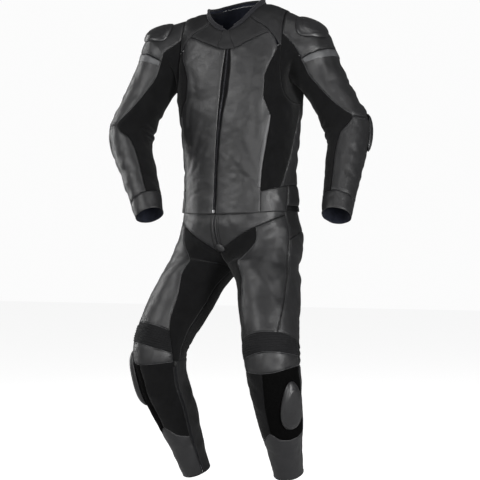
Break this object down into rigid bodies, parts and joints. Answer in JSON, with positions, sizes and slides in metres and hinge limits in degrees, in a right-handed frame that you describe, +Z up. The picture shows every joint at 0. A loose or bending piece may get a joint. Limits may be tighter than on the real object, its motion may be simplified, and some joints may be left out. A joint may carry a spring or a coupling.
{
  "type": "motorcycle race suit",
  "caption": "Leather race suit of jacket and trousers, filled out as worn, with stretch sides, ribbed knees and hard sliders; open at neck, cuffs and leg ends.",
  "frame": {"origin": "centre of the neck base, where the wearer's neck and shoulders carry the suit", "axes": "+Z up, -Y towards the wearer's front, +X towards the wearer's left"},
  "size_m": [0.7691, 0.3763, 1.3971],
  "materials": {
    "leather": "satin black cowhide",
    "stretch": "matt stretch weave",
    "trim": "grey piping leather",
    "slider": "moulded plastic",
    "zip": "zip tape and teeth",
    "hook_pile": "hook and pile fastener"
  },
  "bodies": {
    "root": {"back_panel": "leather", "belly_yoke_left": "leather", "belly_yoke_right": "leather", "calf_left": "leather", "calf_right": "leather", "chest_yoke_left": "leather", "chest_yoke_right": "leather", "collar": "leather", "collar_binding": "stretch", "cuff_left": "leather", "cuff_right": "leather", "elbow_slider_left": "slider", "elbow_slider_right": "slider", "fly_zip": "zip", "forearm_left": "leather", "forearm_right": "leather", "front_left": "leather", "front_right": "leather", "front_zip": "zip", "hem_leather_left": "leather", "hem_leather_right": "leather", "hem_stretch": "stretch", "hip_yoke_left": "leather", "hip_yoke_right": "leather", "knee_back_left": "stretch", "knee_back_right": "stretch", "knee_leather_left": "leather", "knee_leather_right": "leather", "knee_ribs_left": "stretch", "knee_ribs_right": "stretch", "knee_slider_left": "slider", "knee_slider_right": "slider", "pocket_zip_left": "trim", "pocket_zip_right": "trim", "shin_field_left": "hook_pile", "shin_field_right": "hook_pile", "shin_leather_left": "leather", "shin_leather_right": "leather", "shin_stretch_left": "stretch", "shin_stretch_right": "stretch", "shoulder_cap_left": "leather", "shoulder_cap_right": "leather", "shoulder_slider_left": "slider", "shoulder_slider_right": "slider", "shoulder_yoke": "leather", "side_stretch_left": "stretch", "side_stretch_right": "stretch", "sleeve_stretch_left": "stretch", "sleeve_stretch_right": "stretch", "thigh_back_left": "leather", "thigh_back_right": "leather", "thigh_front_left": "leather", "thigh_front_right": "leather", "thigh_stretch_left": "stretch", "thigh_stretch_right": "stretch", "upper_sleeve_left": "leather", "upper_sleeve_right": "leather", "zip_flap": "leather"}
  },
  "joints": []
}
